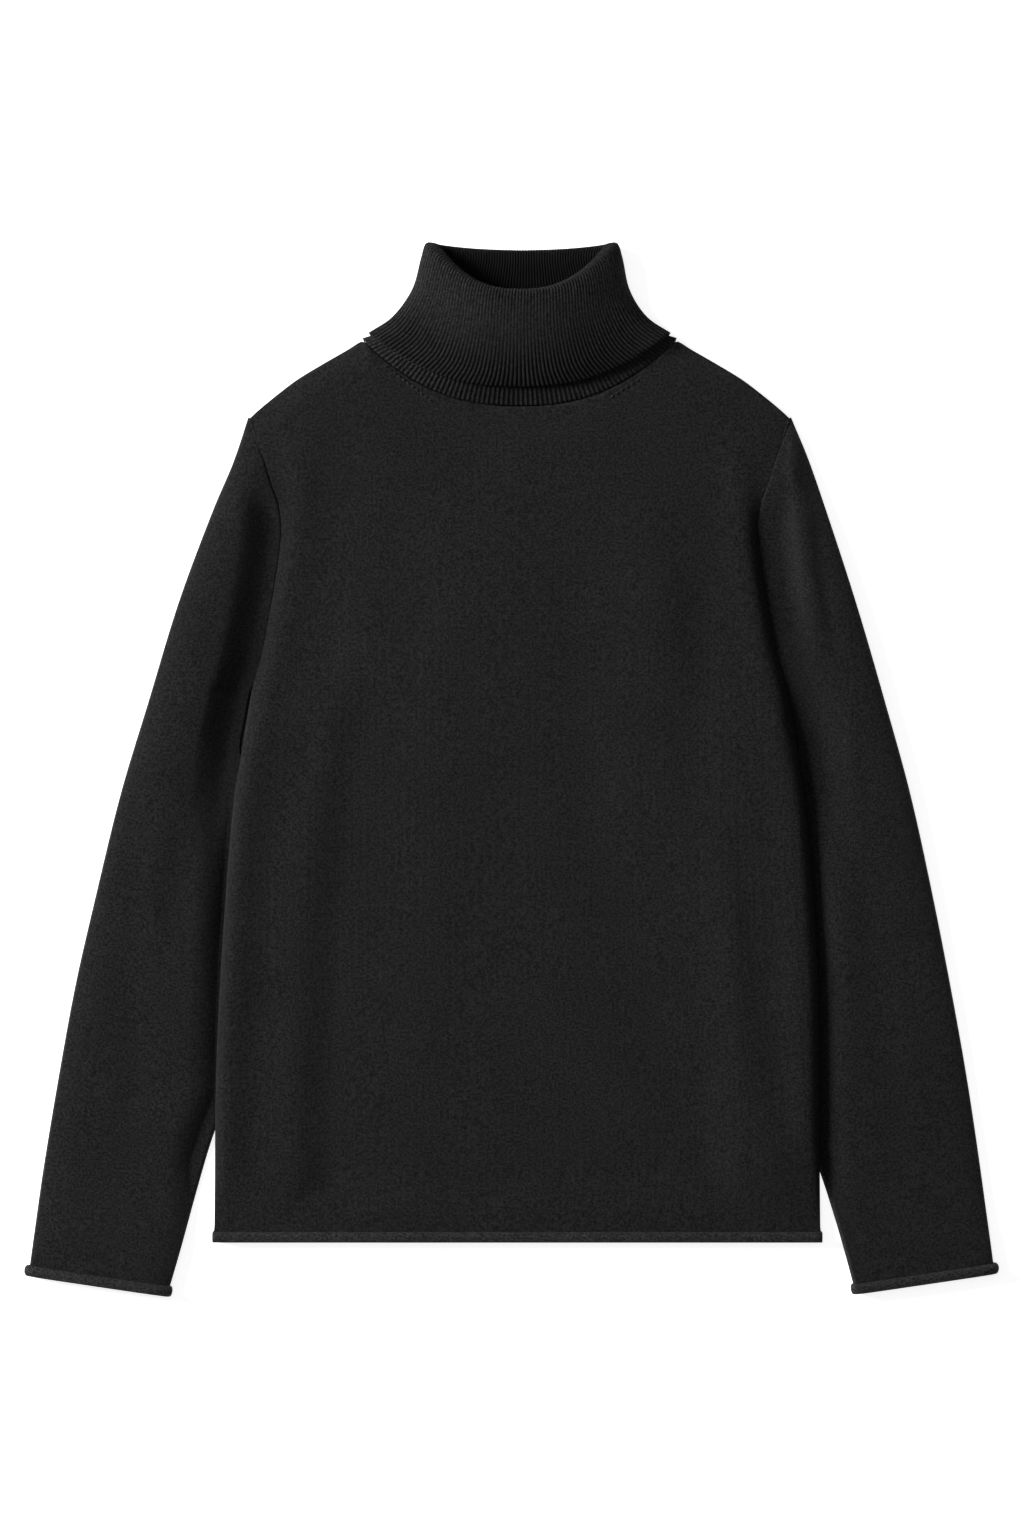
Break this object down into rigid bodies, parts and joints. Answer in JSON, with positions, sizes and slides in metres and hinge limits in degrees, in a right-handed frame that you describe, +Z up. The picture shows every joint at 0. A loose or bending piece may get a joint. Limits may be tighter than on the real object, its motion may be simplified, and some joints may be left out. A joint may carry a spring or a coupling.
{
  "type": "turtleneck sweater",
  "caption": "Black fine-knit turtleneck sweater laid flat on its back, arms down, with a folded ribbed collar and curled hem and cuffs",
  "frame": {"origin": "middle of the laid sweater's footprint, on the surface it lies on", "axes": "+X to the right seen from above, +Y from the hem towards the collar, +Z up out of the surface"},
  "size_m": [0.6816, 0.7352, 0.0275],
  "materials": {
    "back": "matte black fine stockinette knit, slightly fuzzy",
    "front": "matte black fine stockinette knit, slightly fuzzy",
    "sleeve_left": "matte black fine stockinette knit, slightly fuzzy",
    "sleeve_right": "matte black fine stockinette knit, slightly fuzzy",
    "collar": "matte black 1x1 rib knit"
  },
  "bodies": {
    "root": {"back": "back", "front": "front", "sleeve_left": "sleeve_left", "sleeve_right": "sleeve_right", "collar": "collar"}
  },
  "joints": []
}
